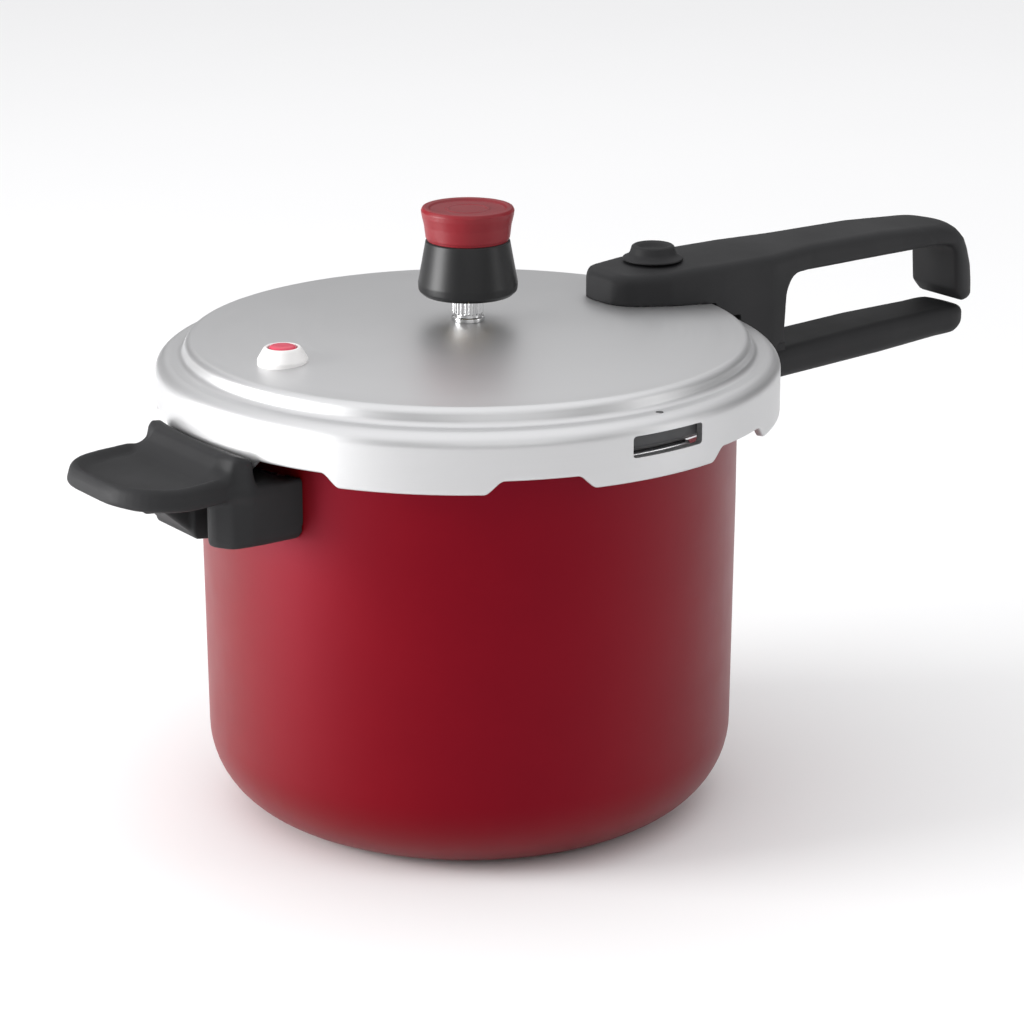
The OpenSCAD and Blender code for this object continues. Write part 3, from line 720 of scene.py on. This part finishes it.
def build_gasket():
    low, high = ring_low[2], ring_high[2]
    out_r = ring_high[0] + 0.05
    in_r = out_r - 14.8
    notch_depth, notch_half = 2.0, 1.3
    mid = (low + high) / 2

    def section(angle):
        off = abs((math.degrees(angle) + 90) % 90 - 45)
        notch = notch_depth * float(smooth(1 - off / notch_half))
        edge = out_r - notch
        return filleted(
            [
                (in_r, low, 0.7), (out_r - 4.3, low, 2.5), (edge, mid - 2.2, 1.5),
                (edge, mid + 2.2, 1.5), (out_r - 4.3, high, 2.5), (in_r, high, 0.7),
                (in_r, high - 1.9, 0.5), (out_r - 6.6, mid + 1.7, 1.2), (out_r - 5.7, mid, 0.8),
                (out_r - 6.6, mid - 1.7, 1.2), (in_r, low + 1.9, 0.5),
            ],
            closed=True,
            steps=4,
        )

    angles = slice_angles([45, 135, 225, 315], 1.5, 1.6)
    ring = turned("sealing_ring", section, angles, smooth_angle=45)
    piece(ring, "gasket_ring", "gasket_rubber", "gasket")


# ---- handles ----


def with_mirror(half):
    """Closed outline from its upper half."""
    return half + [(u, -v) for u, v in reversed(half)]


def build_lid_handle():
    x0, x1 = grip_low[0], grip_high[0]
    top, post_low, trunk_low = grip_high[2], 164.4, grip_low[2]
    under = 190
    trunk_in, trunk_out = 121.4, 143.5
    post_in = x1 - 16.5
    side = filleted(
        [
            (x0, 170, 0), (x0, top - 8, 0), (x0 + 1.2, top - 3, 3), (x0 + 6, top - 0.9, 4),
            (x0 + 35, top, 60), (200, top, 60), (x1 - 22, top - 1.9, 30),
        ]
        + sharp(arc(x1 - 21, top - 22, 19.6, 72, 12, 10))
        + [
            (x1, post_low + 2, 2), (x1 - 1.5, post_low, 1.5), (post_in + 5, post_low, 2),
            (post_in + 1, post_low + 5, 3), (post_in - 0.4, under - 1, 5), (post_in - 12, under, 8),
        ]
        + sharp(arc(trunk_out + 9, under - 9, 9, 90, 180, 9))
        + [(trunk_out - 1.5, trunk_low, 1), (trunk_in, trunk_low, 1), (trunk_in, 170, 0)],
        closed=True,
    )
    plan = with_mirror(
        filleted(
            [
                (x0, 0, 0), (x0 + 0.5, 7, 7), (x0 + 6, 14.5, 10), (84, 18.8, 16), (110, 20, 20),
                (trunk_out - 8, 20, 16), (trunk_out + 14, 16, 16), (200, 15.3, 40),
                (x1 + 30, 15, 0),
            ]
        )
    )
    tongue_z, tongue_top = 185.8, 187.8
    neck_r, rivet_seat_r, screw_bore_r, screw_x = 4.3, 5.4, 4.2, 132
    tip_r = 15
    clear_r = LID_R + 0.4
    far = 10.0
    # the bracket's three seats, the lock bar's channel and its leg's shaft, the slot of the
    # button's neck, the underplate's seat and the hollow under the grip
    cavities = [
        ((69.6, -12.2, 170), (112, 12.2, tongue_top)),
        ((100, -15, tongue_z), (141, 15, tongue_top)),
        ((108, -15, 170), (trunk_in, 15, tongue_z)),
        ((83, -8.4, 185), (139, 11.2, 193)),
        ((126, -6.6, 150), (136.8, 6.6, 193)),
        ((89, -neck_r, 190), (95, neck_r, 210)),
        ((trunk_in + 1.2, -18.8, 150), (trunk_out - 1, 18.8, 163)),
        ((155, -10, 180), (230, 10, 195)),
    ]
    # how far out the tip reaches at each height
    tip_z = [post_low, 172, 179, 186, 190.5, 195, 199.5, 203]
    tip_x = [x1, x1 - 0.3, x1 - 1.1, x1 - 3.2, x1 - 5.2, x1 - 9, x1 - 15, x1 - 22]

    def field(x, y, z):
        crown = 1.1 * (y / 16) ** 2 * smooth((z - 190) / 6)
        body = outline_distance(side, x, z + crown)
        end = np.interp(z, tip_z, tip_x) - tip_r
        cap = np.hypot(np.maximum(x - end, 0), y) - tip_r - 0.2 * np.maximum(end - x - 8, 0)
        width = both(outline_distance(plan, x, y), cap)
        # the top edges are rounder than those under the grip and at the post's foot
        top_edge = np.interp(x, [x0, x0 + 60, 215, 250], [3.2, 3.4, 4, 3.4])
        low_edge = np.interp(z, [186, 196], [0, 2.6]) + np.interp(x, [150, 225], [1.4, 2.8])
        solid = both(body, width, np.minimum(top_edge, low_edge))
        r = np.hypot(x, y)
        # stands on the lid and clear of its skirt
        disc = np.where(r < DISC_R, z - dome(np.minimum(r, DISC_R)), far)
        ledge = np.where(r < clear_r, z - ANNULUS_Z, far)
        solid = both(solid, -np.minimum(disc, np.minimum(ledge, far)) + 0.02)
        solid = both(solid, -both(r - clear_r, z - (ANNULUS_Z - 4)))
        for low, high in cavities:
            solid = both(solid, -box_distance(x, y, z, low, high))
        for neck_x in (89, 95):
            solid = both(solid, -both(np.hypot(x - neck_x, y) - neck_r, 190 - z))
        for rivet_x in (76, 100):
            solid = both(solid, -both(np.hypot(x - rivet_x, y) - rivet_seat_r, z - 190))
        for bore_y in (-11.5, 11.5):
            solid = both(solid, -both(np.hypot(x - screw_x, y - bore_y) - screw_bore_r, z - 177))
        return solid

    handle = sculpted("lid_grip", field, (x0, -20.5, trunk_low), (x1, 20.5, top), 0.9)
    piece(handle, "lid", "handle_black", "lid_handle")


def build_pot_handle():
    x1 = rear_high[0]
    tip_r = 13
    start, root = POT_R - 7, POT_R + 22
    side = filleted(
        [
            (start, 121, 0), (POT_R + 6, 120.2, 3), (root - 9, 136.4, 12), (root + 3, 144.2, 10),
            (root + 20, 146.2, 20), (200, 148.3, 40), (x1 - 10, 150.8, 6), (x1 - 2, 153.5, 3),
            (x1, 157, 3), (x1 - 2, 160.6, 2.5), (x1 - 8, 162, 5), (200, 161.4, 60),
            (169, 159.9, 30), (root + 22, 158.6, 10), (124.2, 157, 1), (121.4, 154.8, 1),
            (start, 154.8, 0),
        ],
        closed=True,
    )
    plan = with_mirror(
        filleted(
            [
                (start, 21, 0), (POT_R + 8, 20, 5), (root, 16.5, 12), (root + 20, 15, 20),
                (200, 14, 40), (x1 - tip_r, 13.2, 8),
            ]
        )
        + arc(x1 - tip_r, 0, tip_r, 86, 0, 12)[1:]
    )
    # the trough that the lock's tooth sweeps, and the notch that it locks into
    trough_in, trough_out, trough_z = 125.5, 131.8, 152
    notch_low, notch_high = (130.3, -4.3, trough_z), (136.2, 4.3, 170)
    bracket_half, bracket_top = 16.2, 151
    screw_x, bore_r, bore_top = 135, 4, 147

    def field(x, y, z):
        edge = np.interp(x, [root - 6, root + 14, x1 - 20, x1 - 4], [1.6, 4.8, 4.8, 2.6])
        solid = both(outline_distance(side, x, z), outline_distance(plan, x, y), edge)
        r = np.hypot(x, y)
        solid = both(solid, POT_R + 0.02 - r)
        solid = both(solid, -both(both(r - trough_out, trough_in - r), trough_z - z))
        solid = both(solid, -box_distance(x, y, z, notch_low, notch_high))
        seat = both(np.abs(y) - bracket_half, r - POT_R - 2)
        solid = both(solid, -both(seat, z - bracket_top))
        return both(solid, -both(np.hypot(x - screw_x, y) - bore_r, z - bore_top))

    handle = sculpted("pot_grip", field, (POT_R - 1, -21, 120), (x1, 21, 162), 0.9)
    piece(handle, "pot", "handle_black", "pot_handle")


def build_helper_handle():
    x0 = help_low[0]
    pad_low, pad_top, ridge = help_low[2], 152.6, help_high[2]
    pad_side = filleted(
        [
            (-90, pad_low, 0), (-112, pad_low, 0), (-130, pad_low + 2, 3), (-131, pad_low + 5, 2),
            (-131, pad_top, 0), (-90, pad_top, 0),
        ],
        closed=True,
    )
    pad_front = filleted(
        [(-35, pad_top + 10, 0), (-35, pad_low, 9), (35, pad_low, 9), (35, pad_top + 10, 0)],
        closed=True,
        steps=8,
    )
    pad_plan = with_mirror(filleted([(-80, 35, 0), (-118, 35, 3), (-125, 32, 5), (-131.5, 25, 3)]))
    grip_side = filleted(
        [
            (-105, 147.5, 0), (-105, 160, 0), (-117, 162.3, 6), (-122, ridge, 2.4),
            (-125.4, ridge - 1.4, 2.6), (-128, 158.6, 4), (-134, 155.4, 9), (-147, 154.6, 20),
            (-158, 155.3, 10), (x0 + 3.5, 155.6, 2), (x0, 153, 2.4), (x0 + 1, 149.6, 2),
            (x0 + 8, 148.4, 10), (-145, 147.5, 20),
        ],
        closed=True,
    )
    end_x = -141
    grip_plan = with_mirror(
        filleted(
            [
                (-95, 32, 0), (-110, 34, 6), (-119, 35.5, 5), (-124, 32.6, 3), (-133, 33.4, 10),
                (end_x, 33.6, 0),
            ]
        )
        + arc(end_x, 7.6, end_x - x0, 90, 180, 14)[1:]
    )
    gusset = filleted(
        [(-112, 131, 0), (-127, 130.5, 3), (-131, 132.5, 4), (-150, 149, 2), (-112, 151, 0)],
        closed=True,
    )
    web_half = 13
    bracket_half, bracket_low, bracket_top = 27.5, 136, 152
    screw_x, bore_r, bore_top = -141, 4, 147
    pocket_y, pocket_half = 18.5, 4.5

    def field(x, y, z):
        r = np.hypot(x, y)
        pad = both(outline_distance(pad_side, x, z), outline_distance(pad_front, y, z), 1.6)
        pad = both(pad, outline_distance(pad_plan, x, y), 1.8)
        outline = outline_distance(grip_plan, x, y)
        # the thumb tray: a dish inside a raised rim, over sides with draft
        upper = smooth((z - 150.5) / 2.5)
        tray = (2.9 * smooth((-outline - 3.0) / 6) - 1.3) * smooth((-127 - x) / 6) * upper
        draft = 0.28 * np.clip(z - 149.5, 0, 8)
        # along its ends the rim stays low until close to the ridge
        ends = smooth((x + 150) / 14) * smooth((-121.5 - x) / 5)
        along = x - 5.5 * smooth((outline + 12) / 11) * ends
        grip = both(outline_distance(grip_side, along, z + tray), outline + draft, 2.4)
        # the lid's edge stands beside the ridge
        grip = both(grip, -both(r - (LID_R + 1.5), pad_top - z), 1.5)
        web = both(outline_distance(gusset, x, z), np.abs(y) - web_half, 1.5)
        solid = either(either(pad, grip, 2.2), web, 1.6)
        solid = both(solid, POT_R + 0.02 - r)
        seat = both(np.abs(y) - bracket_half, r - POT_R - 2)
        solid = both(solid, -both(seat, both(bracket_low - z, z - bracket_top)))
        solid = both(solid, -both(np.hypot(x - screw_x, y) - bore_r, z - bore_top))
        for middle in (-pocket_y, pocket_y):
            pocket_low = (-140, middle - pocket_half, 120)
            pocket_high = (-118, middle + pocket_half, 147)
            solid = both(solid, -box_distance(x, y, z, pocket_low, pocket_high), 0.7)
        return solid

    handle = sculpted("helper_grip", field, (x0, -36, pad_low), (-POT_R * 0.9, 36, ridge), 0.8)
    piece(handle, "pot", "handle_black", "helper_handle")


def build_lock_button():
    top, low, foot = button_high[2], 201.35, 192.6
    r = (button_high[1] - button_low[1]) / 2
    centre = ((button_low[0] + button_high[0]) / 2, 0)
    neck = 3.95
    outline = filleted(
        [
            (0, foot, 0), (neck, foot, 0.2), (neck, low, 0.2), (r, low, 0.3), (r, low + 0.7, 0.6),
            (r - 2.6, low + 1.9, 3), (r - 3.6, top - 0.6, 0.9), (r - 4.6, top, 0.9),
            (r - 6.2, top - 0.7, 1.5), (4, top - 2.1, 3), (0, top - 2.3, 0),
        ]
    )
    piece(lathe("lock_button_cap", outline, centre), "lock", "handle_black", "lock_button")


# ---- weight, vent and indicator ----


def build_weight():
    low, neck = weight_low[2], cap_low[2]
    r = weight_high[0]
    bore = 9
    body = filleted(
        [
            (bore, low + 1.5, 0.3), (r - 5, low + 0.6, 1), (r - 2.2, low, 0.9),
            (r - 0.2, low + 1.8, 1.6), (r, low + 4.6, 2), (r - 1.2, low + 11, 8),
            (r - 2.95, neck - 0.4, 0.4), (r - 3.4, neck, 0.3), (bore, neck, 0.3),
        ],
        closed=True,
    )
    piece(lathe("weight_body", body, steps=144), "weight", "weight_black", "weight_shell")
    top = cap_high[2]
    lip = cap_high[0]
    cap = filleted(
        [
            (0, neck, 0), (lip - 2.3, neck, 0.2), (lip - 2.1, neck + 0.9, 0.3),
            (lip - 1.7, neck + 1.1, 0.3), (lip - 1.1, neck + 6, 8), (lip - 0.25, top - 3.2, 2),
            (lip, top - 1.4, 0.8), (lip - 0.6, top - 0.2, 0.7), (lip - 1.8, top, 0.6),
            (lip - 2.9, top - 0.3, 0.5), (lip - 3.6, top - 1.0, 0.5), (8.6, top - 1.0, 0.4),
            (8.1, top - 0.7, 0.3), (7.3, top - 0.7, 0.3), (6.8, top - 1.0, 0.4), (0, top - 1.0, 0),
        ]
    )
    piece(lathe("weight_top", cap, steps=144), "weight", "cap_red", "weight_cap")


def build_collar_nut():
    ribs, bore_r, foot_r, body_r = 24, 4.05, 6.3, 5.4
    low, high = nut_low[2], nut_high[2]
    base = low + 1.6

    def section(angle):
        rib = 0.5 * abs(math.cos(angle * ribs / 2)) ** 3
        return filleted(
            [
                (bore_r, low + 0.1, 0), (foot_r, low - 0.02, 0.2), (foot_r, base, 0.4),
                (body_r, base + 0.2, 0.2), (body_r, base + 1.2, 0.2),
                (body_r + rib, base + 1.7, 0.1), (body_r + rib, base + 6.4, 0.1),
                (body_r, base + 6.9, 0.2), (5.2, high, 0.4), (bore_r, high, 0),
            ],
            closed=True,
            steps=3,
        )

    nut = turned("vent_collar", section, slice_angles(coarse=1.25), smooth_angle=40)
    piece(nut, "lid", "polished_steel", "vent_collar_nut")


def build_indicator():
    centre = tuple(((float_low + float_high) / 2)[:2])
    z = dome(math.hypot(*centre))
    collar = filleted(
        [
            (6.4, z - 0.9, 0), (9.4, z - 0.9, 0), (9.4, z + 1.2, 0.5), (8.6, z + 2.6, 1.6),
            (7.2, z + 5.0, 1.0), (6.6, z + 5.75, 0.6), (5.6, z + 5.75, 0.4), (5.6, z + 1.25, 0.1),
            (6.4, z + 1.2, 0.1),
        ],
        closed=True,
    )
    piece(lathe("indicator_collar", collar, centre, 96), "lid", "white_plastic", "valve_collar")
    low, high = float_low[2], float_high[2]
    cap = filleted(
        [
            (0, low, 0), (5.2, low, 0.2), (5.2, high - 1.2, 0.3), (4.4, high - 0.2, 1.0),
            (2.4, high, 1.5), (0, high - 0.15, 0),
        ]
    )
    piece(lathe("indicator_button", cap, centre, 96), "float", "button_red", "float_button")


# ---- studio ----


def plain(name, color, rough):
    """Plain paint with a slight change in gloss."""
    made = Shader(name, color, rough)
    made.rough(made.between(made.noise(6, 2), rough * 0.95, rough * 1.05))
    return made.material


def build_floor():
    # a wide disc just below the base, in metres
    reach, sides, level = 60, 96, -0.0002
    mesh = bpy.data.meshes.new("floor")
    turns = np.linspace(0, 2 * math.pi, sides, endpoint=False)
    ring = [(reach * math.cos(t), reach * math.sin(t), level) for t in turns]
    mesh.from_pydata(ring, [], [tuple(range(sides))])
    floor = bpy.data.objects.new("floor", mesh)
    bpy.context.scene.collection.objects.link(floor)
    mesh.materials.append(plain("floor_paint", (0.9, 0.9, 0.9), 0.85))


def area_light(name, place, aim, size, power):
    """Rectangular softbox facing a point; place and size in metres."""
    data = bpy.data.lights.new(name, "AREA")
    data.shape = "RECTANGLE"
    data.size, data.size_y = size
    data.energy = power
    lamp = bpy.data.objects.new(name, data)
    lamp.location = place
    lamp.rotation_euler = (Vector(aim) - Vector(place)).to_track_quat("-Z", "Y").to_euler()
    bpy.context.scene.collection.objects.link(lamp)


def sun_light(name, strength, spread):
    """Soft light from straight above, the same everywhere on the floor."""
    data = bpy.data.lights.new(name, "SUN")
    data.energy = strength
    data.angle = math.radians(spread)
    bpy.context.scene.collection.objects.link(bpy.data.objects.new(name, data))


def polar(turn, distance, height):
    """Point round the object, in metres; turn is degrees to the right of the camera's side."""
    a = math.radians(CAMERA_AZIMUTH + turn)
    return (math.sin(a) * distance, -math.cos(a) * distance, height)


CAMERA_AZIMUTH = -35
CAMERA_ELEVATION = 18.9
CAMERA_DISTANCE = 1.3


def build_studio():
    world = bpy.data.worlds.new("studio")
    world.use_nodes = True
    nodes, links = world.node_tree.nodes, world.node_tree.links
    back = nodes["Background"]
    split = nodes.new("ShaderNodeSeparateXYZ")
    links.new(nodes.new("ShaderNodeTexCoord").outputs["Generated"], split.inputs[0])
    rise = nodes.new("ShaderNodeValToRGB")
    links.new(split.outputs["Z"], rise.inputs["Fac"])
    ramp = rise.color_ramp
    # a pale sky that brightens from the horizon to overhead: (sine of the elevation, brightness)
    sky = [(0.0, 0.08), (0.17, 0.11), (0.33, 0.2), (0.5, 0.4), (0.8, 1.0)]
    for place, _ in sky[1:-1]:
        ramp.elements.new(place)
    for stop, (place, value) in zip(ramp.elements, sky):
        stop.position = place
        stop.color = (value, value, value * 1.01, 1)
    links.new(rise.outputs["Color"], back.inputs["Color"])
    back.inputs["Strength"].default_value = 1.3
    bpy.context.scene.world = world
    aim = (0, 0, 0.1)
    area_light("left_softbox", polar(-78, 1.2, 0.26), aim, (0.6, 0.8), 23)
    area_light("back_softbox", polar(180, 1.5, 1.0), aim, (1.6, 0.5), 1.2)
    area_light("front_softbox", polar(15, 1.8, 0.9), aim, (1.6, 0.7), 4)
    area_light("right_fill", polar(75, 1.6, 0.5), aim, (0.5, 0.9), 3)
    sun_light("overhead", 0.1, 100)
    bpy.context.scene.view_settings.view_transform = "Standard"


def build_camera():
    low, high = cad_box
    # the box's middle, shifted so that the object stands where it should in the picture
    aim = (low + high) / 2 + Vector((-0.016, 0.011, -0.012))
    target = Vector((0, 0, 0.08))
    a, e = math.radians(CAMERA_AZIMUTH), math.radians(CAMERA_ELEVATION)
    away = Vector((math.sin(a) * math.cos(e), -math.cos(a) * math.cos(e), math.sin(e)))
    data = bpy.data.cameras.new("camera")
    data.lens = 117
    data.sensor_width = 36
    data.clip_end = 200
    camera = bpy.data.objects.new("camera", data)
    camera.location = target + CAMERA_DISTANCE * away
    camera.rotation_euler = (aim - camera.location).to_track_quat("-Z", "Y").to_euler()
    bpy.context.scene.collection.objects.link(camera)
    bpy.context.scene.camera = camera


finish_cad_nodes()
build_pot()
build_lid()
build_gasket()
build_lid_handle()
build_pot_handle()
build_helper_handle()
build_lock_button()
build_weight()
build_collar_nut()
build_indicator()
build_floor()
build_studio()
build_camera()
